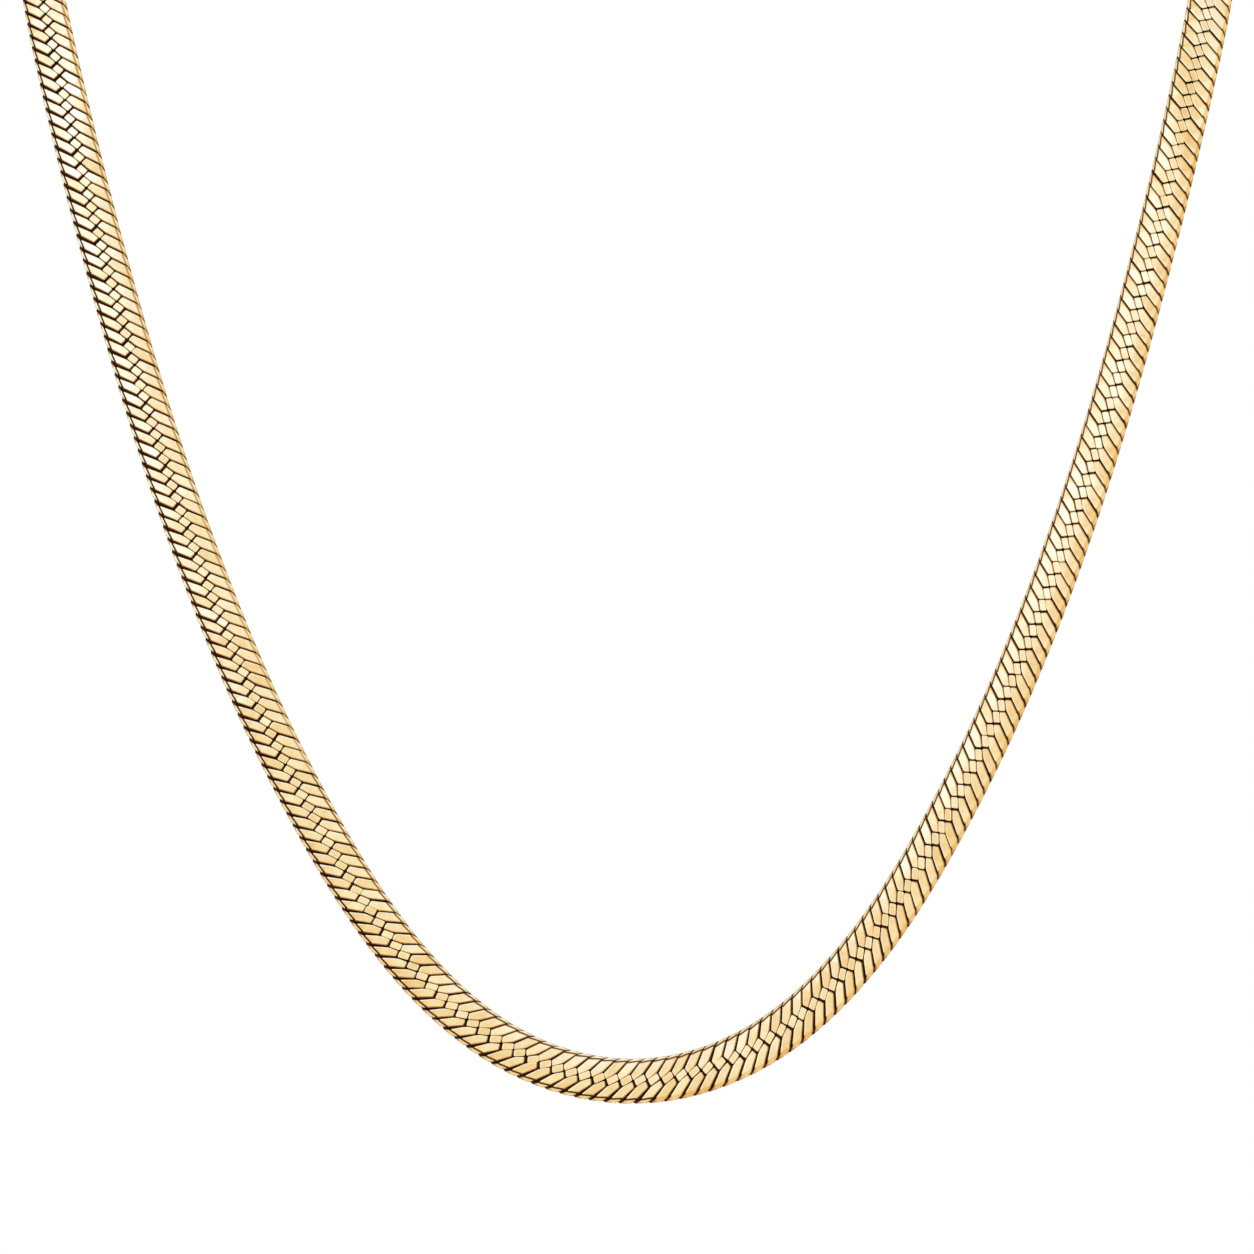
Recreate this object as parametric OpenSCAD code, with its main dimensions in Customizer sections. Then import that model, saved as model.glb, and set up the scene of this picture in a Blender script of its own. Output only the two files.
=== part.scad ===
// Herringbone chain necklace, in the form that it takes when it is worn: a flat woven band that
// hangs in a U at the front, goes round the neck, and closes in a box clasp at the nape.
// Millimetres. +X is the wearer's left, which is right in a view from the front, -Y is the way
// that the front of the U faces and +Z is up. The origin is on the clasp's inner face, at its
// middle, where the necklace lies on the nape.

/* [Band] */
// Width of the woven band
band_w = 4.6; // [3:0.1:6]
// Thickness of the woven band
band_t = 1.1; // [0.8:0.05:1.5]
// How much lower the band's edges are than its middle
crown = 0.06; // [0:0.01:0.1]
// Width of the slope that is rolled along each edge
bevel_w = 0.26; // [0.2:0.02:0.5]

/* [Links] */
// Length of chain that one link takes up
pitch = 1.375; // [1.1:0.05:2.2]
// Width of the small squares along the middle
square_w = 1.3; // [0.9:0.05:1.8]
// Slant of the long bars against a line straight across the band, in degrees
bar_slant = 41; // [25:1:45]
// Slant of the small squares the other way, in degrees
square_slant = 27; // [15:1:35]
// How far each bar's back edge lies below the next bar's lip
groove_d = 0.16; // [0.08:0.02:0.24]
// Width of the groove between two bars
groove_w = 0.22; // [0.1:0.02:0.4]
// Depth of the notch between two links at the band's edge
notch_d = 0.1; // [0.05:0.01:0.25]

/* [Clasp] */
// Length of the clasp
clasp_len = 14; // [12:0.5:16]
// Metal left round the chain's end in the clasp
clasp_wall = 0.65; // [0.55:0.05:1]
// How far the chain's end goes into the clasp
socket_d = 2.5; // [1.5:0.1:3.5]
// Play between the chain's end and the clasp
play = 0.1; // [0.05:0.01:0.15]
// Radius of the clasp's corners, seen from the back
corner_r = 1.4; // [0.6:0.1:2]
// Radius of the clasp's ends, seen from above
end_r = 0.8; // [0.4:0.1:1]

/* [Hidden] */
$fn = 48;
gold = "#F3C968";
over = 1;

// The chain's middle line from the bottom of the U to the nape. Each row is a control point of a
// smooth curve and the way that the band's face looks there. The other side is its mirror image,
// apart from a slight roll.
PLACE = 0;
FACE = 1;
ROUTE = [
    [[ 0.00, -95.5, -151.05], [  0, -97, 24]],
    [[13.50, -94.5, -147.05], [ -4, -97, 24]],
    [[23.85, -93.0, -136.90], [-10, -97, 23]],
    [[31.15, -91.0, -125.10], [-12, -97, 23]],
    [[37.40, -89.0, -112.95], [-13, -96, 23]],
    [[42.85, -86.5,  -99.95], [-14, -96, 24]],
    [[47.50, -84.0,  -87.00], [-16, -96, 23]],
    [[51.60, -81.5,  -73.50], [-17, -96, 23]],
    [[55.35, -79.0,  -59.95], [-17, -96, 22]],
    [[58.65, -76.5,  -46.55], [ -6, -96, 28]],
    [[61.55, -72.5,  -34.00], [ 22, -86, 44]],
    [[62.00, -64.5,  -23.50], [52, -60, 60]],
    [[60.00, -52.5,  -15.50], [68, -25, 70]],
    [[55.50, -40.0,   -9.50], [74,   8, 66]],
    [[49.00, -28.0,   -5.50], [75,  38, 54]],
    [[39.50, -16.5,   -2.50], [68,  62, 36]],
    [[28.00,  -7.0,   -1.00], [50,  84, 18]],
    [[14.00,  -1.0,    0.00], [25,  97,  0]],
    [[ 0.00,   0.0,    0.00], [ 0, 100,  0]],
];
LAST = len(ROUTE) - 1;
// Samples between two rows when the route is measured
SAMPLES = 16;
// How far the band rolls towards the inside of the U, in degrees, against the distance from the
// bottom of the U. It rolls in a little more on the right than on the left, as it was laid.
ROLL = [[-185, 0], [-130, -8], [-90, -9], [-50, -6.5], [-20, -2.5], [0, 0],
        [20, 2.5], [50, 6.5], [90, 9], [130, 8], [185, 0]];

function unit(v) = v / norm(v);
function mirrored(v) = [-v[0], v[1], v[2]];
function row(i, column) =
    i < 0 ? mirrored(ROUTE[-i][column])
    : i > LAST ? mirrored(ROUTE[2 * LAST - i][column])
    : ROUTE[i][column];

// Cubic B-spline through four rows and its slope, with t from 0 to 1
function blend(a, b, c, d, t) =
    (pow(1 - t, 3) * a + (3 * pow(t, 3) - 6 * t * t + 4) * b
    + (-3 * pow(t, 3) + 3 * t * t + 3 * t + 1) * c + pow(t, 3) * d) / 6;
function blend_slope(a, b, c, d, t) =
    (-pow(1 - t, 2) * a + (3 * t * t - 4 * t) * b + (-3 * t * t + 2 * t + 1) * c + t * t * d) / 2;
function stretch(u) = min(floor(u), LAST - 1);
function curve(u, column) =
    let (i = stretch(u))
    blend(row(i - 1, column), row(i, column), row(i + 1, column), row(i + 2, column), u - i);
function heading(u) =
    let (i = stretch(u))
    unit(blend_slope(row(i - 1, PLACE), row(i, PLACE), row(i + 1, PLACE), row(i + 2, PLACE), u - i));

// Distance along the route from the bottom of the U, against the route's own parameter
marks = [for (k = [0:LAST * SAMPLES]) curve(k / SAMPLES, PLACE)];
travel = [
    for (k = 0, s = 0; k < len(marks); k = k + 1, s = s + norm(marks[min(k, len(marks) - 1)] - marks[k - 1]))
    [s, k / SAMPLES]
];
half_loop = travel[len(travel) - 1][0];

// The clasp's sizes follow the band that goes into it
clasp_w = band_w + 2 * (play + clasp_wall);
clasp_t = band_t + 2 * (play + clasp_wall);
home = [0, clasp_t / 2, 0] - curve(LAST, PLACE);

// Each half of the chain runs from the bottom of the U into its socket, in whole links
half_run = half_loop - clasp_len / 2 + socket_d;
links_each = round(half_run / pitch);
link_len = half_run / links_each;
// Length over which the bars straighten to the chain's cut end
straighten = 2 * link_len;

// A place on the band: s along it from the bottom of the U, w across it towards the inside of the
// U and z out of its face. The left half is the mirror image of the right half.
function frame_at(s) =
    let (
        u = lookup(abs(s), travel),
        t = heading(u),
        f = curve(u, FACE),
        flat = unit(f - (f * t) * t),
        roll = lookup(s, ROLL),
        n = cos(roll) * flat + sin(roll) * cross(flat, t)
    )
    [curve(u, PLACE) + home, t, cross(n, t), n];
function on_band(s, w, z) =
    let (f = frame_at(s), p = f[0] + w * f[2] + z * f[3])
    s < 0 ? mirrored(p) : p;

// How far the groove between two links has moved along the band at w: two long bars that slope
// one way, and the small square between them that slopes the other way
function drift(w) =
    let (q = square_w / 2, side = w < 0 ? -1 : 1, past = max(0, abs(w) - q))
    side * (past * tan(bar_slant) - min(abs(w), q) * tan(square_slant));
function straightened(s) = max(0, min(1, (half_run - abs(s)) / straighten));

// Outline of the band at a link's lip, or at the groove behind it when low is true
function outline(low) =
    let (
        w = band_w / 2 - (low ? notch_d : 0),
        e = band_w / 2 - bevel_w,
        q = square_w / 2,
        h = band_t / 2 - (low ? groove_d : 0)
    )
    [[-w, 0], [-e, h - crown], [-q, h], [q, h], [e, h - crown],
     [w, 0], [e, crown - h], [q, -h], [-q, -h], [-e, crown - h]];
function ring(s, low) =
    [for (c = outline(low)) on_band(s + drift(c[0]) * straightened(s), c[0], c[1])];

// One half of the band as a closed shell, from one whole link to another
module band(first_link, last_link) {
    rings = [
        ring(first_link * link_len, false),
        for (k = [first_link + 1:last_link])
            each [ring(k * link_len - groove_w, true), ring(k * link_len, false)]
    ];
    n = len(rings[0]);
    top = len(rings) - 1;
    walls = [
        for (k = [0:top - 1], i = [0:n - 1])
            let (a = k * n + i, b = k * n + (i + 1) % n, c = a + n, d = b + n)
            each [[a, b, d], [a, d, c]]
    ];
    last_end = [for (t = rungs(n)) [for (i = t) top * n + i]];
    first_end = [for (t = rungs(n)) [t[2], t[1], t[0]]];
    polyhedron(points = [for (r = rings) each r], faces = concat(walls, first_end, last_end));
}

// Triangles that close a ring of n points, in strips from its front edge to its back edge
function rungs(n) = [
    for (i = [0:n / 2 - 1])
        let (a = i, b = i + 1, c = n - i - 1, d = (n - i) % n)
        each [if (b != c) [a, b, c], if (d != a) [a, c, d]]
];

// The two halves meet face to face at the bottom of the U
module chain_left() {
    color(gold) band(-links_each, 0);
}

module chain_right() {
    color(gold) band(0, links_each);
}

// A rectangle with round corners
module rounded(length, width, r) {
    square([length - 2 * r, width], center = true);
    square([length, width - 2 * r], center = true);
    for (x = [-1, 1], y = [-1, 1])
        translate([x * (length / 2 - r), y * (width / 2 - r)]) circle(r);
}

// The hollow that takes one end of the chain, square to the chain where it goes in
module socket() {
    f = frame_at(half_loop - clasp_len / 2 + socket_d / 2);
    turn = [for (i = [0:2]) [f[1][i], f[2][i], f[3][i], f[0][i]]];
    multmatrix([turn[0], turn[1], turn[2], [0, 0, 0, 1]])
        translate([-socket_d / 2 - over, -band_w / 2 - play, -band_t / 2 - play])
            cube([socket_d + over + play, band_w + 2 * play, band_t + 2 * play]);
}

// A plain box clasp, shut
module clasp() {
    color(gold)
        difference() {
            intersection() {
                rotate([-90, 0, 0]) linear_extrude(clasp_t) rounded(clasp_len, clasp_w, corner_r);
                translate([0, clasp_t / 2, -clasp_w / 2])
                    linear_extrude(clasp_w) rounded(clasp_len, clasp_t, end_r);
            }
            socket();
            mirror([1, 0, 0]) socket();
        }
}

chain_left();
chain_right();
clasp();
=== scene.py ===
"""Herringbone chain necklace: the woven gold band link by link, its core, and the clasp.

The real chain is a row of flattened wire links, pressed so flat that each shows a long slanted
bar on either half of the band and a small square between them. Here every link has an outer and
an inner clip, a bar that folds round the band's edge and comes back behind, and a square on each
face. All lengths are in metres, in the frame of the CAD model.
"""

import logging
import math
import random
from dataclasses import dataclass, field
from enum import Enum

import bmesh
import bpy
from mathutils import Matrix, Vector


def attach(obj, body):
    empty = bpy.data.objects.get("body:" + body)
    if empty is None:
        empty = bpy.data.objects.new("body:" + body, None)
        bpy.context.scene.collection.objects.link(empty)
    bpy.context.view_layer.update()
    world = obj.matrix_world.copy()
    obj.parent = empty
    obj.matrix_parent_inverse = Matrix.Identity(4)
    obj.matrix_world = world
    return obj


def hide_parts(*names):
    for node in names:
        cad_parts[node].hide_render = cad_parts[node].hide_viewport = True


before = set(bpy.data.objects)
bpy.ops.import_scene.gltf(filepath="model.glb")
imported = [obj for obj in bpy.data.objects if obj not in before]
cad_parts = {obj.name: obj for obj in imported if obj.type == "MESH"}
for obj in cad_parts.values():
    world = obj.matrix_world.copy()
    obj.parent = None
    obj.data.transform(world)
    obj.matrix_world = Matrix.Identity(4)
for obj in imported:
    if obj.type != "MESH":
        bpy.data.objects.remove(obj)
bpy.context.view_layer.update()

LOG = logging.getLogger("necklace")
MM = 0.001
PHOTO_PX = 1254
# Two places of a template that are closer than this, in millimetres, count as one
TOUCH = 1e-4
# A normal with a greater z than this looks straight out of a template's face
UP = 0.99
Socket = bpy.types.NodeSocket


class Side(Enum):
    """Half of the chain, as seen from the front."""

    LEFT = "left"
    RIGHT = "right"


def linear(hex_colour: str) -> tuple[float, float, float, float]:
    """Turn an sRGB hex colour into linear RGBA.

    Args:
        hex_colour: six hex digits, with or without a leading hash.

    Returns:
        Linear red, green, blue and an alpha of 1.
    """
    digits = hex_colour.lstrip("#")
    parts = [int(digits[i:i + 2], 16) / 255 for i in (0, 2, 4)]
    red, green, blue = [c / 12.92 if c <= 0.04045 else ((c + 0.055) / 1.055) ** 2.4 for c in parts]
    return (red, green, blue, 1.0)


def add_node(tree: bpy.types.NodeTree, kind: str, inputs: dict | None = None,
             **settings: object) -> bpy.types.Node:
    """Add a node, with its settings, values and links.

    Args:
        tree: the node tree that gets it.
        kind: Blender's name for the type of node.
        inputs: a value, or an output socket to link, for each input by name or number.
        settings: the node's own properties.

    Returns:
        The new node.
    """
    node = tree.nodes.new(kind)
    for name, value in settings.items():
        setattr(node, name, value)
    for key, value in (inputs or {}).items():
        socket = node.inputs[key]
        if isinstance(value, Socket):
            tree.links.new(value, socket)
        else:
            socket.default_value = value
    return node


def scaled(tree: bpy.types.NodeTree, value: Socket, factor: Socket | float,
           plus: Socket | float = 0.0, clamp: bool = False) -> Socket:
    """Add a node that multiplies a value and adds to it.

    Args:
        tree: the node tree that gets it.
        value: the value.
        factor: what it is multiplied by.
        plus: what is added.
        clamp: True where the result stays from 0 to 1.

    Returns:
        The result.
    """
    return add_node(tree, "ShaderNodeMath", {0: value, 1: factor, 2: plus},
                    operation="MULTIPLY_ADD", use_clamp=clamp).outputs[0]


def mixed(tree: bpy.types.NodeTree, factor: Socket, first: Socket | tuple,
          second: Socket | tuple) -> Socket:
    """Add a node that mixes two colours.

    Args:
        tree: the node tree that gets it.
        factor: 0 for the first colour, 1 for the second.
        first: the first colour.
        second: the second colour.

    Returns:
        The mixed colour.
    """
    return add_node(tree, "ShaderNodeMix", {"Factor": factor, "A": first, "B": second},
                    data_type="RGBA").outputs["Result"]


def noise(tree: bpy.types.NodeTree, size_mm: float, detail: float, roughness: float = 0.5) -> Socket:
    """Add noise that is tied to the object's own coordinates.

    Args:
        tree: the node tree that gets it.
        size_mm: the noise's largest waves.
        detail: how many finer waves it has.
        roughness: how strong the finer waves are.

    Returns:
        The noise, from 0 to 1.
    """
    place = add_node(tree, "ShaderNodeTexCoord").outputs["Object"]
    return add_node(tree, "ShaderNodeTexNoise", {
        "Vector": place, "Scale": 1 / (size_mm * MM), "Detail": detail, "Roughness": roughness,
    }).outputs["Fac"]


def bumped(tree: bpy.types.NodeTree, height: Socket, size: tuple, under: Socket | None = None) -> Socket:
    """Add a bump to a surface.

    Args:
        tree: the node tree that gets it.
        height: the bump's height, from 0 to 1.
        size: how strong it is, and how deep in millimetres.
        under: the bump that it lies on, if any.

    Returns:
        The surface's new normal.
    """
    inputs = {"Height": height, "Strength": size[0], "Distance": size[1] * MM}
    if under is not None:
        inputs["Normal"] = under
    return add_node(tree, "ShaderNodeBump", inputs).outputs["Normal"]


def soft_step(tree: bpy.types.NodeTree, value: Socket, ends: tuple, top: float = 1.0) -> Socket:
    """Add a soft step from 0 up to a level.

    Args:
        tree: the node tree that gets it.
        value: what the step depends on.
        ends: the values where the step starts and ends.
        top: the level beyond it.

    Returns:
        The step.
    """
    return add_node(tree, "ShaderNodeMapRange", {
        "Value": value, "From Min": ends[0], "From Max": ends[1], "To Max": top,
    }, interpolation_type="SMOOTHSTEP").outputs[0]


def soft_curve(tree: bpy.types.NodeTree, value: Socket, stops: tuple) -> Socket:
    """Add a soft curve through stops.

    Args:
        tree: the node tree that gets it.
        value: what the curve depends on.
        stops: places from 0 to 1, and the curve's level at each.

    Returns:
        The curve's level.
    """
    node = add_node(tree, "ShaderNodeValToRGB", {"Fac": value})
    set_ramp(node, stops, "EASE")
    return node.outputs["Color"]


def empty_material(name: str) -> bpy.types.Material:
    """Make a material that has no nodes yet.

    Args:
        name: its name.

    Returns:
        The material.
    """
    mat = bpy.data.materials.new(name)
    mat.use_nodes = True
    mat.node_tree.nodes.clear()
    return mat


def set_ramp(node: bpy.types.Node, stops: list[tuple[float, tuple | float]], ease: str = "LINEAR") -> None:
    """Give a colour ramp its stops.

    Args:
        node: a colour ramp node.
        stops: place from 0 to 1 and a colour, or one number for a grey.
        ease: how the ramp goes from stop to stop.
    """
    ramp = node.color_ramp
    ramp.interpolation = ease
    while len(ramp.elements) > 1:
        ramp.elements.remove(ramp.elements[-1])
    for count, (place, colour) in enumerate(stops):
        stop = ramp.elements[0] if count == 0 else ramp.elements.new(place)
        stop.position = place
        stop.color = colour if isinstance(colour, tuple) else (colour, colour, colour, 1.0)


def between(table: tuple, at: float) -> float:
    """Read a table of places and values, in straight lines from row to row.

    Args:
        table: rows of a place and its value, in order.
        at: the place.

    Returns:
        The value there.
    """
    if at <= table[0][0]:
        return table[0][1]
    for (x0, y0), (x1, y1) in zip(table, table[1:]):
        if at <= x1:
            return y0 + (y1 - y0) * (at - x0) / (x1 - x0)
    return table[-1][1]


@dataclass(frozen=True)
class PressedGold:
    """Gold-plated brass wire, pressed flat and burnished: pale yellow metal with a soft sheen.

    It reads two values of a shape. "mark" is 0 on a burnished face, below 0 where a painted highlight
    lightens a rim or the band's side, and up to 1 where painted shade darkens a rim's shaded side, a
    crease or the walls down in the gaps. "tint" makes a shape warmer than the next.
    """

    face: str = "#FEDD98"
    warm: str = "#F2B964"
    # The painted highlight on rims and on the band's side
    highlight_rim: str = "#FFE2A6"
    # Amber painted shade on the shaded side of rims and on light crease lines
    amber: str = "#BE7A30"
    # Deep brown painted shade down in the gaps and on dark crease lines
    gap_shade: str = "#481602"
    # The metal where light only glances off it
    glance: str = "#F0D8AC"
    # How strongly the painted highlight lightens a rim and the band's side
    rim_highlight: float = 0.85
    roughness: float = 0.23
    # Sizes of the clouds that burnishing leaves, and of the metal's grain
    burnish_mm: float = 0.9
    grain_mm: float = 0.12
    # How strongly the burnishing warms the colour in places
    mottle: float = 1.1
    # How strong each bump is, and how deep in millimetres
    burnish_bump: tuple = (0.35, 0.03)
    grain_bump: tuple = (0.15, 0.01)
    # How much the roughness changes from grain to grain
    grain_rough: float = 0.12
    # The mark from which the painted shade goes from amber to the deep brown of the gaps, how
    # quickly it hides the gold, how much rougher it is and how much less metallic
    shade_from: float = 0.4
    shade_cover: float = 1.7
    shade_rough: float = 0.45
    shade_matt: float = 0.9

    def material(self, name: str) -> bpy.types.Material:
        """Build the metal's node material.

        Args:
            name: the material's name.

        Returns:
            The material.
        """
        mat = empty_material(name)
        tree = mat.node_tree
        cloud = noise(tree, self.burnish_mm, 3.0, 0.6)
        grain = noise(tree, self.grain_mm, 2.0)
        tint = add_node(tree, "ShaderNodeAttribute", attribute_name="tint").outputs["Fac"]
        # mark carries painted light: below 0 a painted highlight, above 0 painted shade
        mark = add_node(tree, "ShaderNodeAttribute", attribute_name="mark").outputs["Fac"]
        painted_shade = add_node(tree, "ShaderNodeMath", {0: mark, 1: 0.0}, operation="MAXIMUM").outputs[0]
        warmth = scaled(tree, cloud, self.mottle, tint, clamp=True)
        skin = mixed(tree, warmth, linear(self.face), linear(self.warm))
        # Painted highlight: lightens rims and the band's side
        highlight_share = scaled(tree, mark, -self.rim_highlight, clamp=True)
        bright = mixed(tree, highlight_share, skin, linear(self.highlight_rim))
        # Painted shade: darkens the metal towards deep brown, makes it rougher and less metallic
        shade_ramp = add_node(tree, "ShaderNodeValToRGB", {"Fac": painted_shade})
        set_ramp(shade_ramp, [(self.shade_from, linear(self.amber)), (1.0, linear(self.gap_shade))])
        shade_share = scaled(tree, painted_shade, self.shade_cover, clamp=True)
        painted_colour = mixed(tree, shade_share, bright, shade_ramp.outputs["Color"])
        clean_rough = scaled(tree, grain, self.grain_rough, self.roughness - self.grain_rough / 2)
        relief = bumped(tree, grain, self.grain_bump, bumped(tree, cloud, self.burnish_bump))
        shader = add_node(tree, "ShaderNodeBsdfPrincipled", {
            "Base Color": painted_colour,
            "Roughness": scaled(tree, painted_shade, self.shade_rough, clean_rough),
            "Metallic": scaled(tree, painted_shade, -self.shade_matt, 1.0),
            "Specular Tint": linear(self.glance),
            "Normal": relief,
        })
        add_node(tree, "ShaderNodeOutputMaterial", {"Surface": shader.outputs[0]})
        return mat


@dataclass(frozen=True)
class ShadedInnerWire:
    """The wire inside the band: brown metal, partly tarnished, its deep brown mostly painted shade for the
    dark that shows through the gaps.
    """

    dark: str = "#2A1206"
    light: str = "#5E2F10"
    roughness: float = 0.6
    strand_mm: float = 0.4

    def material(self, name: str) -> bpy.types.Material:
        """Build the dull metal's node material.

        Args:
            name: the material's name.

        Returns:
            The material.
        """
        mat = empty_material(name)
        tree = mat.node_tree
        skin = mixed(tree, noise(tree, self.strand_mm, 2.0), linear(self.dark), linear(self.light))
        shader = add_node(tree, "ShaderNodeBsdfPrincipled", {
            "Base Color": skin, "Roughness": self.roughness, "Metallic": 1.0,
            "Specular Tint": linear(self.light),
        })
        add_node(tree, "ShaderNodeOutputMaterial", {"Surface": shader.outputs[0]})
        return mat


@dataclass(frozen=True)
class Route:
    """The band's middle line and the way its face looks, the same curve as in the part's source."""

    rows: tuple = (
        ((0.0, -95.5, -151.05), (0, -97, 24)),
        ((13.5, -94.5, -147.05), (-4, -97, 24)),
        ((23.85, -93.0, -136.9), (-10, -97, 23)),
        ((31.15, -91.0, -125.1), (-12, -97, 23)),
        ((37.4, -89.0, -112.95), (-13, -96, 23)),
        ((42.85, -86.5, -99.95), (-14, -96, 24)),
        ((47.5, -84.0, -87.0), (-16, -96, 23)),
        ((51.6, -81.5, -73.5), (-17, -96, 23)),
        ((55.35, -79.0, -59.95), (-17, -96, 22)),
        ((58.65, -76.5, -46.55), (-6, -96, 28)),
        ((61.55, -72.5, -34.0), (22, -86, 44)),
        ((62.0, -64.5, -23.5), (52, -60, 60)),
        ((60.0, -52.5, -15.5), (68, -25, 70)),
        ((55.5, -40.0, -9.5), (74, 8, 66)),
        ((49.0, -28.0, -5.5), (75, 38, 54)),
        ((39.5, -16.5, -2.5), (68, 62, 36)),
        ((28.0, -7.0, -1.0), (50, 84, 18)),
        ((14.0, -1.0, 0.0), (25, 97, 0)),
        ((0.0, 0.0, 0.0), (0, 100, 0)),
    )
    # Distance from the bottom of the U in millimetres, and the band's roll there in degrees
    roll: tuple = (
        (-185, 0), (-130, -8), (-90, -9), (-50, -6.5), (-20, -2.5), (0, 0),
        (20, 2.5), (50, 6.5), (90, 9), (130, 8), (185, 0),
    )
    pitch: float = 1.375 * MM
    clasp_len: float = 14 * MM
    clasp_t: float = 2.6 * MM
    socket_d: float = 2.5 * MM
    samples: int = 16
    table: list = field(default_factory=list)

    def __post_init__(self) -> None:
        """Measure the route once."""
        marks = [self.at(k / self.samples, 0) for k in range(self.last * self.samples + 1)]
        travelled = 0.0
        self.table.append((0.0, 0.0))
        for k in range(1, len(marks)):
            travelled += (marks[k] - marks[k - 1]).length
            self.table.append((travelled, k / self.samples))

    @property
    def last(self) -> int:
        """Number of the last row."""
        return len(self.rows) - 1

    @property
    def half_run(self) -> float:
        """Length of one half of the chain, from the bottom of the U into its socket."""
        return self.table[-1][0] - self.clasp_len / 2 + self.socket_d

    @property
    def links_each(self) -> int:
        """Number of whole links in each half."""
        return round(self.half_run / self.pitch)

    @property
    def link_len(self) -> float:
        """Length of chain that one link takes up."""
        return self.half_run / self.links_each

    def row(self, i: int, column: int) -> Vector:
        """One control row, with rows past either end mirrored.

        Args:
            i: the row's number, which may lie one past either end.
            column: 0 for the place, 1 for the way the face looks.

        Returns:
            The place in metres or the direction.
        """
        beyond = i < 0 or i > self.last
        source = -i if i < 0 else 2 * self.last - i if i > self.last else i
        x, y, z = self.rows[source][column]
        return Vector((-x if beyond else x, y, z)) * (MM if column == 0 else 1.0)

    def at(self, u: float, column: int, slope: bool = False) -> Vector:
        """A point, or the slope, of the cubic B-spline through the rows.

        Args:
            u: the route's own parameter, one for each row.
            column: 0 for the place, 1 for the way the face looks.
            slope: True for the curve's slope.

        Returns:
            The point or slope.
        """
        i = min(int(u), self.last - 1)
        t = u - i
        if slope:
            weights = (-(1 - t) ** 2 / 2, (3 * t * t - 4 * t) / 2, (-3 * t * t + 2 * t + 1) / 2, t * t / 2)
        else:
            weights = ((1 - t) ** 3 / 6, (3 * t ** 3 - 6 * t * t + 4) / 6,
                       (-3 * t ** 3 + 3 * t * t + 3 * t + 1) / 6, t ** 3 / 6)
        return sum((self.row(i - 1 + k, column) * w for k, w in enumerate(weights)), Vector())

    def parameter(self, s: float) -> float:
        """The route's parameter at a distance along it from the bottom of the U.

        Args:
            s: the distance.

        Returns:
            The parameter.
        """
        for (s0, u0), (s1, u1) in zip(self.table, self.table[1:]):
            if s <= s1:
                return u0 + (u1 - u0) * (s - s0) / (s1 - s0)
        return self.table[-1][1]

    def place(self, s: float) -> Matrix:
        """The frame on the band's middle line.

        Args:
            s: distance from the bottom of the U, positive on the right.

        Returns:
            A matrix whose axes are along the band, across it towards the inside of the U, and out
            of its face.
        """
        u = self.parameter(abs(s))
        along = self.at(u, 0, slope=True).normalized()
        look = self.at(u, 1)
        out = (look - look.dot(along) * along).normalized()
        roll = math.radians(between(self.roll, s / MM))
        out = math.cos(roll) * out + math.sin(roll) * out.cross(along)
        home = Vector((0, self.clasp_t / 2, 0)) - self.at(self.last, 0)
        spot = self.at(u, 0) + home
        if s < 0:
            along = Vector((along.x, -along.y, -along.z))
            out.x, spot.x = -out.x, -spot.x
        across = out.cross(along)
        turn = Matrix((along, across, out)).transposed().to_4x4()
        turn.translation = spot
        return turn


@dataclass
class Template:
    """A small closed shape that is set down once for each link.

    It has one mark for each face, and lies at a shift along the chain from the link's own place,
    counted in links.
    """

    mesh: bpy.types.Mesh
    marks: list[float]
    shift: float


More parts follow.
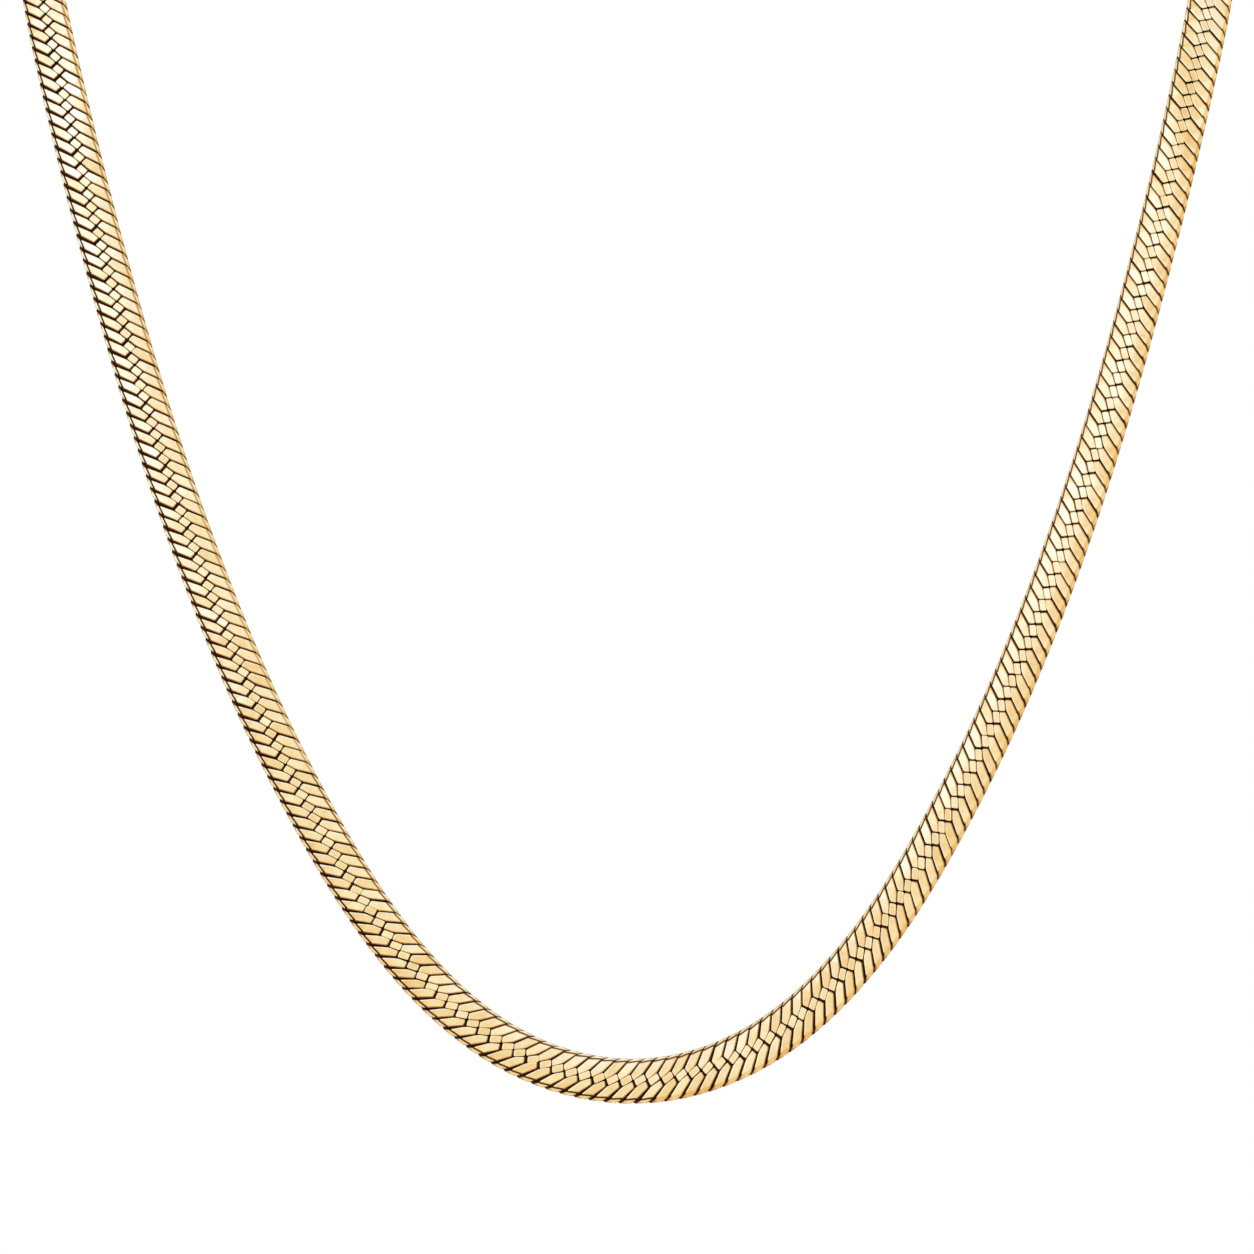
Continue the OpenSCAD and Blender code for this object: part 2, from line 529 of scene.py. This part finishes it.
@dataclass
class LinkShapes:
    """Sizes of one link's four visible shapes, and the methods that make their templates.

    A template's axes are those of Route.place: x along the band, y across it, z out of its
    face.
    """

    pitch: float
    square_slope: float
    gap: float
    inner_gap: float
    thin_gap: float
    outer_notch: float
    inner_notch: float
    # How dark the painted shade line is along each edge's crease, up to 1
    outer_crease_shade: float
    inner_crease_shade: float
    thickness: float = 0.36
    # Width and fall of the rim round each top face
    rim: float = 0.1
    rim_drop: float = 0.03
    # How far a bar runs along the band for each millimetre across it, and beyond the crease
    bar_slope: float = 0.88
    edge_slope: float = 0.66
    # Half of a square's width, and the height of its top
    square_half: float = 0.653
    top: float = 0.55
    # Share of the notch by which a bar is drawn in at the crease
    waist: float = 0.5
    # How dark the painted shade is on the rims that look away from the light
    rim_shade: float = 0.45
    # How far a rim looks along the band before it counts as one of a bar's long sides
    rim_turn: float = 0.1
    square_round: float = 0.1
    # Rounding of the corners at a bar's inner end, by their number in its outline
    bar_rounds: tuple = ((2, 0.09), (3, 0.14), (4, 0.2))
    # Distance from the middle of the band's side along its skin, with the place of the skin and of
    # the bar's hidden inner face there, across the band and out of its face
    fold: tuple = (
        (0.0, (-2.29, 0.0), (-1.92, 0.0)),
        (0.5, (-1.99, 0.4), (-1.88, 0.1)),
        (0.735, (-1.77, 0.482), (-1.77, 0.125)),
        (1.57, (-0.94, 0.535), (-0.94, 0.17)),
        (2.51, (0.0, 0.55), (0.0, 0.19)),
    )

    def inset(self, corners: list[Vector], gaps: list[float]) -> list[Vector]:
        """Move each side of a polygon inwards by its own gap.

        Args:
            corners: the corners, anticlockwise.
            gaps: how far the side from each corner to the next moves.

        Returns:
            The new corners.
        """
        count = len(corners)
        lines = []
        for i in range(count):
            way = (corners[(i + 1) % count] - corners[i]).normalized()
            lines.append((corners[i] + Vector((-way.y, way.x)) * gaps[i], way))
        result = []
        for i in range(count):
            (p, d), (q, e) = lines[i - 1], lines[i]
            cross = d.x * e.y - d.y * e.x
            if abs(cross) < 1e-6:
                result.append(q)
                continue
            step = ((q.x - p.x) * e.y - (q.y - p.y) * e.x) / cross
            result.append(p + d * step)
        return result

    def slab(self, corners: list[Vector], rounds: dict[int, float], folds: list[float],
             crease: float) -> bmesh.types.BMesh:
        """A flat slab with round corners and a soft rim round its top face.

        Args:
            corners: its outline, anticlockwise.
            rounds: the rounding of a corner, by its number.
            folds: places along y where the slab will bend.
            crease: the place along y, on either side, where it bends sharply.

        Returns:
            The slab, its top face at z = 0.
        """
        bm = bmesh.new()
        points = [bm.verts.new((c.x, c.y, 0.0)) for c in corners]
        bm.faces.new(points)
        for number, size in rounds.items():
            bmesh.ops.bevel(bm, geom=[points[number]], offset=size, segments=1, profile=0.5,
                            affect="VERTICES", material=-1)
        for y in folds:
            bmesh.ops.bisect_plane(bm, geom=bm.verts[:] + bm.edges[:] + bm.faces[:], dist=1e-5,
                                   plane_co=(0, y, 0), plane_no=(0, 1, 0))
        top = bm.faces[:]
        grown = bmesh.ops.extrude_face_region(bm, geom=top, use_keep_orig=True)
        lowered = [v for v in grown["geom"] if isinstance(v, bmesh.types.BMVert)]
        bmesh.ops.translate(bm, vec=(0, 0, -self.thickness), verts=lowered)
        bmesh.ops.recalc_face_normals(bm, faces=bm.faces[:])
        top = [f for f in bm.faces if f.normal.z > UP]
        bmesh.ops.inset_region(bm, faces=top, thickness=self.rim, depth=self.rim_drop,
                               use_boundary=True, use_even_offset=True)
        bmesh.ops.translate(bm, vec=(0, 0, -self.rim_drop), verts=bm.verts[:])
        for face in bm.faces:
            face.smooth = True
        for edge in bm.edges:
            if all(abs(v.co.z) < TOUCH for v in edge.verts):
                rimmed = min(f.normal.z for f in edge.link_faces) < UP
                creased = all(abs(abs(v.co.y) - crease) < TOUCH for v in edge.verts)
                edge.smooth = not (rimmed or creased)
        return bm

    def skin(self, v: float, h: float) -> Vector:
        """Bend one point of a flat slab round the band's edge.

        Args:
            v: distance from the middle of the band's side along its skin, positive in front.
            h: height above the slab's top, zero or below.

        Returns:
            The point across the band and out of its face, as y and z.
        """
        reach = abs(v)
        inner = outer = Vector((0.0, 0.0))
        for (a, out_a, in_a), (b, out_b, in_b) in zip(self.fold, self.fold[1:]):
            if reach <= b or b == self.fold[-1][0]:
                t = (reach - a) / (b - a)
                outer = Vector(out_a).lerp(Vector(out_b), t)
                inner = Vector(in_a).lerp(Vector(in_b), t)
                break
        point = outer.lerp(inner, min(1.0, -h / self.thickness))
        return Vector((point.x, point.y if v >= 0 else -point.y))

    def clip(self, gap: float, notch: float) -> bmesh.types.BMesh:
        """The outer clip: a front bar, the fold round the band's edge, and a bar behind.

        Args:
            gap: the gap between two bars.
            notch: how much each side of the bar draws in at the band's edge.

        Returns:
            The clip, with its own middle, at the band's side, at x = 0.
        """
        p = self.pitch
        half = p / 2
        edge_v, crease_v, full_v = self.fold[1][0], self.fold[2][0], self.fold[-1][0]
        edge_w, crease_w = -self.fold[1][1][0], -self.fold[2][1][0]
        fall = self.square_slope * self.square_half
        # The bar's middle line where it ends, at the crease and at the band's edge
        at_tip = p + fall
        at_crease = at_tip - self.bar_slope * (crease_w - self.square_half)
        at_edge = at_crease - self.edge_slope * (edge_w - crease_w)
        narrow, waist = half - notch, half - self.waist * notch
        ring = [
            Vector((at_edge + narrow, edge_v)), Vector((at_crease + waist, crease_v)),
            Vector((at_tip + half, full_v - self.square_half)), Vector((1.5 * p, full_v)),
            Vector((at_tip - half, full_v - self.square_half)),
            Vector((at_crease - waist, crease_v)), Vector((at_edge - narrow, edge_v)),
        ]
        # The back bar is the front one turned half round the band's side
        corners = ring + [-c for c in ring]
        thick, thin = gap / 2, self.thin_gap / 2
        corners = self.inset(corners, [thick, thick, thick, thin, thick, thick, thick] * 2)
        rounds = {first + number: size for first in (0, len(ring)) for number, size in self.bar_rounds}
        folds = [sign * f[0] for f in self.fold[1:-1] for sign in (1, -1)] + [0.0]
        return self.slab(corners, rounds, folds, crease_v)

    def square(self) -> bmesh.types.BMesh:
        """The small square on the band's middle line.

        Returns:
            The square, its middle at the origin and its top at z = 0.
        """
        p, w = self.pitch, self.square_half
        low = Vector((-p / 2, 0.0))
        inner = Vector((p / 2 - self.square_slope * w, w))
        corners = self.inset([low, -inner, -low, inner],
                             [self.gap / 2, self.thin_gap / 2] * 2)
        return self.slab(corners, {n: self.square_round for n in range(4)}, [], self.fold[-1][0])

    def finish(self, bm: bmesh.types.BMesh, name: str, shift: float) -> Template:
        """Turn a template to metres and keep it as a mesh.

        Args:
            bm: the shape.
            name: the mesh's name.
            shift: distance from a link's own place to the shape's, in links.

        Returns:
            The template.
        """
        mesh = bpy.data.meshes.new(name)
        bmesh.ops.scale(bm, vec=(MM, MM, MM), verts=bm.verts[:])
        bm.verts.ensure_lookup_table()
        mark = bm.faces.layers.float["mark"]
        marks = [f[mark] for f in bm.faces]
        bm.to_mesh(mesh)
        bm.free()
        return Template(mesh, marks, shift)

    def note(self, bm: bmesh.types.BMesh, crease_shade: float | None, highlight_rim: int) -> None:
        """Mark each face of a flat shape: painted highlight below 0, polished tops 0, painted shade up to
        1.

        Args:
            bm: the shape, still flat.
            crease_shade: how dark the painted shade line along the band's crease is, up to 1, or None on a
                square.
            highlight_rim: the way along x that the rim with painted highlight looks, the other rim
                getting painted shade, or 0 where both get a painted highlight.
        """
        bm.normal_update()
        mark = bm.faces.layers.float.new("mark")
        low, high = self.fold[1][0], self.fold[2][0]
        for face in bm.faces:
            middle = face.calc_center_median()
            # Walls down in the gaps: full painted shade
            if middle.z < -self.rim_drop:
                face[mark] = 1.0
                continue
            rim = middle.z < -TOUCH
            if crease_shade is not None and abs(middle.y) < high:
                # Beyond the crease's painted shade line the band's side gets a painted highlight as strong
                # as the line is dark
                painted_shade = self.rim_shade if rim else 0.0
                face[mark] = max(crease_shade, painted_shade) if abs(middle.y) > low else painted_shade * (1 - crease_shade) - crease_shade
            elif rim:
                # Rims on one long side of a bar get painted shade, the rest a painted highlight
                in_shade = face.normal.x * highlight_rim < -self.rim_turn
                face[mark] = self.rim_shade if in_shade else -1.0

    def half_turn(self, bm: bmesh.types.BMesh, axis: str) -> None:
        """Turn a shape half round one axis, through the origin."""
        turn = Matrix.Rotation(math.pi, 3, axis)
        bmesh.ops.rotate(bm, cent=(0, 0, 0), matrix=turn, verts=bm.verts[:])

    def templates(self) -> tuple[list[Template], list[Template]]:
        """Make the four shapes of a link.

        Returns:
            The two clips, and the two squares.
        """
        outer = self.clip(self.gap, self.outer_notch)
        inner = self.clip(self.inner_gap, self.inner_notch)
        # Outer and inner clips: how dark the painted shade line at each crease is, and which rims get a
        # painted highlight
        for bm, crease_shade, highlight_rim in ((outer, self.outer_crease_shade, -1), (inner, self.inner_crease_shade, 1)):
            self.note(bm, crease_shade, highlight_rim)
            for vert in bm.verts:
                across = self.skin(vert.co.y, vert.co.z)
                vert.co = Vector((vert.co.x, across.x, across.y))
        self.half_turn(inner, "Z")
        front = self.square()
        self.note(front, None, 0)
        bmesh.ops.translate(front, vec=(0, 0, self.top), verts=front.verts[:])
        back = front.copy()
        self.half_turn(back, "Y")
        clips = [self.finish(outer, "outer_clip", -0.5), self.finish(inner, "inner_clip", 0.5)]
        squares = [self.finish(front, "front_square", 0.5), self.finish(back, "back_square", 0.5)]
        return clips, squares


@dataclass
class Weave:
    """How the weave changes along the chain: it lies more open on the left than on the right."""

    pitch: float
    # Distance from the bottom of the U, the squares' slope, the gaps between outer bars, between
    # inner bars and beside the squares, the notches at the outer and inner edge, in millimetres,
    # and how dark the painted shade lines are along the creases at those edges, up to 1
    stations: tuple = (
        (-95, 0.64, 0.17, 0.10, 0.06, 0.15, 0.04, 1.0, 0.45),
        (-60, 0.60, 0.15, 0.09, 0.05, 0.16, 0.04, 1.0, 0.35),
        (-35, 0.50, 0.12, 0.10, 0.03, 0.15, 0.06, 1.0, 0.6),
        (-12, 0.40, 0.13, 0.11, 0.015, 0.12, 0.05, 0.95, 0.8),
        (15, 0.36, 0.17, 0.14, 0.01, 0.02, 0.05, 0.05, 0.85),
        (45, 0.37, 0.13, 0.12, 0.01, 0.03, 0.05, 0.0, 0.85),
        (90, 0.38, 0.11, 0.10, 0.01, 0.03, 0.05, 0.0, 0.85),
    )
    made: list = field(default_factory=list)

    def __post_init__(self) -> None:
        """Make every station's templates once."""
        for _, *sizes in self.stations:
            self.made.append(LinkShapes(self.pitch, *sizes).templates())

    def at(self, s: float) -> tuple[list[Template], list[Template]]:
        """The templates of the nearest station.

        Args:
            s: distance from the bottom of the U, in metres.

        Returns:
            The clips and the squares.
        """
        away = [abs(row[0] - s / MM) for row in self.stations]
        return self.made[away.index(min(away))]


class Row(Enum):
    """The two rows of shapes that a link has, by their place in its templates."""

    BARS = 0
    SQUARES = 1


@dataclass
class WovenBand:
    """One half of the chain: its clips, its squares and the wire inside."""

    side: Side
    route: Route
    weave: Weave
    gold: bpy.types.Material
    wire: bpy.types.Material
    seed: int = 7
    # How far out of true a bar lies: turned flat, tilted along the band, slipped and lifted
    turn: float = math.radians(0.5)
    tilt: float = math.radians(1.1)
    slip: float = 0.018 * MM
    lift: float = 0.006 * MM
    # Squares lie looser than bars, and now and then a shape is well out of true
    square_play: float = 2.2
    rogue_share: float = 0.1
    rogue_play: float = 2.0
    # How much paler or warmer a shape can be
    tints: tuple = (-0.3, 0.2)
    core_half: float = 1.9 * MM
    core_depth: float = 0.17 * MM
    # Shares of the core's width and depth that its flats take up, and how far it stops short
    core_flats: tuple = (0.9, 0.4)
    core_short: float = 0.5 * MM

    def build(self) -> list[bpy.types.Object]:
        """Build, dress and place this half's pieces.

        Returns:
            The pieces.
        """
        name = self.side.value
        pieces = [
            make_piece(f"bars_{name}", self.set_down(Row.BARS), self.gold),
            make_piece(f"squares_{name}", self.set_down(Row.SQUARES), self.gold),
            make_piece(f"core_{name}", self.core(), self.wire),
        ]
        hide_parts(f"chain_{name}")
        return pieces

    def links(self) -> range:
        """The links of this half, counted from the bottom of the U."""
        count = self.route.links_each
        return range(-count, 0) if self.side is Side.LEFT else range(0, count)

    def set_down(self, row: Row) -> bmesh.types.BMesh:
        """Set each template down once for each link, a little out of true as real ones are.

        Args:
            row: which of a link's shapes.

        Returns:
            All of them.
        """
        rng = random.Random(f"{self.seed} {self.side.value} {row.name}")
        bm = bmesh.new()
        tint = bm.verts.layers.float.new("tint")
        mark = bm.faces.layers.float.new("mark")
        for link in self.links():
            for template in self.weave.at(link * self.route.link_len)[row.value]:
                first, first_face = len(bm.verts), len(bm.faces)
                bm.from_mesh(template.mesh)
                bm.verts.ensure_lookup_table()
                bm.faces.ensure_lookup_table()
                verts = bm.verts[first:]
                s = (link + template.shift) * self.route.link_len
                play = self.rogue_play if rng.random() < self.rogue_share else 1.0
                loose = play * (self.square_play if row is Row.SQUARES else 1.0)
                wobble = (Matrix.Translation((rng.gauss(0, self.slip) * loose, 0, rng.gauss(0, self.lift)))
                          @ Matrix.Rotation(rng.gauss(0, self.turn) * loose, 4, "Z")
                          @ Matrix.Rotation(rng.gauss(0, self.tilt), 4, "Y"))
                bmesh.ops.transform(bm, matrix=self.route.place(s) @ wobble, verts=verts)
                shade = rng.uniform(*self.tints)
                for vert in verts:
                    vert[tint] = shade
                for face, value in zip(bm.faces[first_face:], template.marks):
                    face[mark] = value
        return bm

    def core(self) -> bmesh.types.BMesh:
        """The wire inside the band, as one dark strip that fills the middle of its thickness; its dark
        brown is painted shade seen through the gaps.

        Returns:
            The strip, closed at both ends.
        """
        bm = bmesh.new()
        run = self.route.half_run - self.core_short
        steps = self.route.links_each
        stations = [run * k / steps for k in range(steps + 1)]
        if self.side is Side.LEFT:
            stations = [-s for s in reversed(stations)]
        w, d = self.core_half, self.core_depth
        flat_w, flat_d = w * self.core_flats[0], d * self.core_flats[1]
        outline = [(-w, -flat_d), (-flat_w, -d), (flat_w, -d), (w, -flat_d),
                   (w, flat_d), (flat_w, d), (-flat_w, d), (-w, flat_d)]
        here = self.route.place(stations[0])
        face = bm.faces.new([bm.verts.new(here @ Vector((0, y, z))) for y, z in outline])
        for step, s in enumerate(stations[1:]):
            there = self.route.place(s)
            # The first face stays, as the core's end
            grown = bmesh.ops.extrude_face_region(bm, geom=[face], use_keep_orig=step == 0)
            face = next(f for f in grown["geom"] if isinstance(f, bmesh.types.BMFace))
            bmesh.ops.transform(bm, matrix=there @ here.inverted(), verts=face.verts[:])
            here = there
        bmesh.ops.recalc_face_normals(bm, faces=bm.faces[:])
        return bm


def make_piece(name: str, bm: bmesh.types.BMesh, finish: bpy.types.Material) -> bpy.types.Object:
    """Make an object of a bmesh, give it its finish and tie it to the frame.

    Args:
        name: the piece's name.
        bm: its shape, which is freed.
        finish: its material.

    Returns:
        The piece.
    """
    mesh = bpy.data.meshes.new(name)
    bm.to_mesh(mesh)
    bm.free()
    mesh.materials.append(finish)
    piece = bpy.data.objects.new(name, mesh)
    bpy.context.scene.collection.objects.link(piece)
    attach(piece, "root")
    LOG.info("%s: %d faces", name, len(mesh.polygons))
    return piece


@dataclass
class BoxClasp:
    """The plain box clasp at the nape, shut: the CAD solid with its sharp edges softened."""

    gold: bpy.types.Material
    edge_r: float = 0.15 * MM
    flat: float = math.radians(1)
    sharp: float = math.radians(35)

    def build(self) -> bpy.types.Object:
        """Soften the CAD clasp's edges and dress it.

        Returns:
            The piece.
        """
        bm = bmesh.new()
        bm.from_mesh(bpy.data.objects["clasp"].data)
        bmesh.ops.remove_doubles(bm, verts=bm.verts[:], dist=0.001 * MM)
        bmesh.ops.dissolve_limit(bm, angle_limit=self.flat, verts=bm.verts[:], edges=bm.edges[:])
        edges = [e for e in bm.edges if e.is_manifold and e.calc_face_angle(0.0) > self.sharp]
        bmesh.ops.bevel(bm, geom=edges, offset=self.edge_r, segments=2, profile=0.5,
                        affect="EDGES", material=-1, clamp_overlap=True)
        bmesh.ops.recalc_face_normals(bm, faces=bm.faces[:])
        for face in bm.faces:
            face.smooth = True
        for edge in bm.edges:
            edge.smooth = edge.is_manifold and edge.calc_face_angle(0.0) < self.sharp
        piece = make_piece("clasp_box", bm, self.gold)
        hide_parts("clasp")
        return piece


@dataclass
class Studio:
    """Pale floor, soft light all round, and the camera of the photograph.

    In world coordinates, x is across, y from the front to the back and z upwards.
    """

    floor_z: float = -0.30
    floor_r: float = 0.9
    card: str = "#F6F1E6"
    card_rough: float = 0.9
    # The camera's lens in pixels of the photograph, its sensor in millimetres, and where it stands
    focal_px: float = 5245.0
    sensor: float = 36.0
    spot: tuple = (-0.000383, -0.6135, -0.10469)
    roll: float = math.radians(-0.288)
    # How far above level the necklace's front faces
    aim: float = math.radians(20)
    # The gold that the tones are seen in, and the strength of the brightest of them
    metal: str = "#F6CE86"
    peak: float = 3.6
    # How much stronger the light is high up, over which heights and places across it grows, and
    # how much weaker the shade is
    top_panel: float = 0.15
    top_heights: tuple = (0.36, 0.52)
    top_across: tuple = (-0.32, -0.14)
    shade: float = 0.15
    # Place across, from -1 to 1 as 0 to 1, and how much of the shade falls there
    shades: tuple = ((0.22, 0.0), (0.28, 0.3), (0.32, 0.75), (0.365, 1.0), (0.41, 0.8), (0.445, 0.0))
    # Place from right behind (0) to the way that the necklace faces (1), and how strongly it is lit
    panels: tuple = (
        (0.0, 0.6), (0.42, 0.82), (0.6, 0.86), (0.7, 0.82), (0.76, 0.76), (0.82, 0.73),
        (0.92, 0.77), (1.0, 0.79),
    )
    right_panels: tuple = (
        (0.0, 0.5), (0.45, 0.62), (0.6, 0.75), (0.66, 0.65), (0.7, 0.6), (0.76, 0.58), (0.82, 0.63),
        (0.92, 0.7), (1.0, 0.74),
    )
    # Where across the right side's panels take over
    right_across: tuple = (-0.1, 0.5)
    # The near panel
    panel_at: tuple = (-0.165, -0.29, 0.055)
    panel_aim: tuple = (-0.12, -0.085, -0.06)
    panel_size: tuple = (0.19, 0.19)
    panel_spread: float = math.radians(110)
    panel_colour: tuple = (0.08, 0.26, 1.0)
    panel_watts: float = 0.115
    # How the gold looks in light of each strength, from deep brown to nearly white
    tones: tuple = (
        (0.0, "#3C1809"), (0.2, "#76502F"), (0.35, "#A47A40"), (0.5, "#CC9F58"), (0.62, "#EDC478"),
        (0.7, "#F6D795"), (0.78, "#F5DFA7"), (0.87, "#F8EBBD"), (0.95, "#F9F0DB"), (1.0, "#FCF9EC"),
    )

    def build(self) -> None:
        """Build floor, world, panel and camera."""
        self.floor()
        self.world()
        self.panel()
        self.camera()

    def floor(self) -> None:
        """A pale round floor below the necklace."""
        bm = bmesh.new()
        bmesh.ops.create_circle(bm, cap_ends=True, segments=96, radius=self.floor_r)
        bmesh.ops.translate(bm, vec=(0, 0, self.floor_z), verts=bm.verts[:])
        mesh = bpy.data.meshes.new("studio_floor")
        bm.to_mesh(mesh)
        bm.free()
        mat = bpy.data.materials.new("matt_white_card")
        mat.use_nodes = True
        shader = mat.node_tree.nodes["Principled BSDF"]
        shader.inputs["Base Color"].default_value = linear(self.card)
        shader.inputs["Roughness"].default_value = self.card_rough
        mesh.materials.append(mat)
        floor = bpy.data.objects.new("studio_floor", mesh)
        bpy.context.scene.collection.objects.link(floor)

    def strength(self, tree: bpy.types.NodeTree) -> Socket:
        """Say how strongly each direction is lit, with a weaker ring off the way the necklace faces.

        Args:
            tree: the world's node tree.

        Returns:
            The strength, from 0 to 1.
        """
        way = add_node(tree, "ShaderNodeTexCoord").outputs["Generated"]
        split = add_node(tree, "ShaderNodeSeparateXYZ", {0: way}).outputs
        # The light is the same behind as in front
        folded = add_node(tree, "ShaderNodeMath", {0: split["Y"]}, operation="ABSOLUTE").outputs[0]
        both = add_node(tree, "ShaderNodeCombineXYZ", {"X": split["X"], "Y": folded, "Z": split["Z"]})
        axis = (0.0, math.cos(self.aim), math.sin(self.aim))
        near = add_node(tree, "ShaderNodeVectorMath", {0: both.outputs[0], 1: axis},
                        operation="DOT_PRODUCT").outputs["Value"]
        place = scaled(tree, near, 0.5, 0.5, clamp=True)
        aside = soft_step(tree, split["X"], self.right_across)
        left, right = (soft_curve(tree, place, stops) for stops in (self.panels, self.right_panels))
        lit = mixed(tree, aside, left, right)
        shaded = soft_curve(tree, scaled(tree, split["X"], 0.5, 0.5), self.shades)
        under = scaled(tree, shaded, -self.shade, lit)
        above = soft_step(tree, split["Z"], self.top_heights, self.top_panel)
        right_of = soft_step(tree, split["X"], self.top_across)
        return scaled(tree, above, right_of, under, clamp=True)

    def world(self) -> None:
        """Soft panels all round, and plain white for the camera and for matt surfaces.

        One ramp gives every strength of light its colour: the brightest panels are cool, which
        washes the gold out to cream, and the weakest are warm. Only what mirrors the panels shows
        them; the floor and the matt parts of the gold that carry painted shade are lit by the plain white.
        """
        world = bpy.data.worlds.new("soft_studio")
        bpy.context.scene.world = world
        world.use_nodes = True
        tree = world.node_tree
        tree.nodes.clear()
        colour = add_node(tree, "ShaderNodeValToRGB", {"Fac": self.strength(tree)})
        gold = linear(self.metal)
        set_ramp(colour, [
            (level, tuple(part / metal / self.peak for part, metal in zip(linear(seen), gold)))
            for level, seen in self.tones
        ])
        rays = add_node(tree, "ShaderNodeLightPath").outputs
        matt = add_node(tree, "ShaderNodeMath", {
            0: rays["Is Camera Ray"], 1: rays["Is Diffuse Ray"],
        }, operation="MAXIMUM")
        light = add_node(tree, "ShaderNodeBackground", {
            "Color": colour.outputs["Color"], "Strength": self.peak,
        })
        plain = add_node(tree, "ShaderNodeBackground", {"Color": (1, 1, 1, 1), "Strength": 1.0})
        mix = add_node(tree, "ShaderNodeMixShader", {
            0: matt.outputs[0], 1: light.outputs[0], 2: plain.outputs[0],
        })
        add_node(tree, "ShaderNodeOutputWorld", {"Surface": mix.outputs[0]})
        bpy.context.scene.view_settings.view_transform = "Standard"

    def panel(self) -> None:
        """A cool soft panel close by on the left, which washes out the halves that turn to it."""
        data = bpy.data.lights.new("cool_panel", "AREA")
        data.shape = "RECTANGLE"
        data.size, data.size_y = self.panel_size
        data.spread = self.panel_spread
        data.color = self.panel_colour
        data.energy = self.panel_watts
        lamp = bpy.data.objects.new("cool_panel", data)
        lamp.location = self.panel_at
        aim = Vector(self.panel_aim) - Vector(self.panel_at)
        lamp.rotation_euler = aim.to_track_quat("-Z", "Y").to_euler()
        lamp.visible_camera = False
        lamp.visible_diffuse = False
        bpy.context.scene.collection.objects.link(lamp)

    def camera(self) -> None:
        """The photograph's camera: level, from the front, with a long lens."""
        data = bpy.data.cameras.new("photo_camera")
        data.sensor_width = self.sensor
        data.lens = self.focal_px / PHOTO_PX * self.sensor
        data.clip_start, data.clip_end = 0.05, 20.0
        camera = bpy.data.objects.new("photo_camera", data)
        camera.matrix_world = (Matrix.Translation(self.spot) @ Matrix.Rotation(math.pi / 2, 4, "X")
                               @ Matrix.Rotation(self.roll, 4, "Z"))
        bpy.context.scene.collection.objects.link(camera)
        bpy.context.scene.camera = camera


def main() -> None:
    """Build the necklace and its studio, in order."""
    logging.basicConfig(level=logging.INFO, format="%(name)s: %(message)s")
    Studio().build()
    gold = PressedGold().material("burnished_pale_gold")
    smooth_gold = PressedGold(warm="#F8CE86", burnish_mm=6.0, grain_mm=0.3, roughness=0.16)
    clasp_gold = smooth_gold.material("polished_clasp_gold")
    # The inner wire's deep brown is painted shade, seen through the gaps
    wire = ShadedInnerWire().material("tarnished_inner_wire")
    route = Route()
    weave = Weave(route.link_len / MM)
    for side in Side:
        WovenBand(side, route, weave, gold, wire).build()
    BoxClasp(clasp_gold).build()


if __name__ == "__main__":
    main()
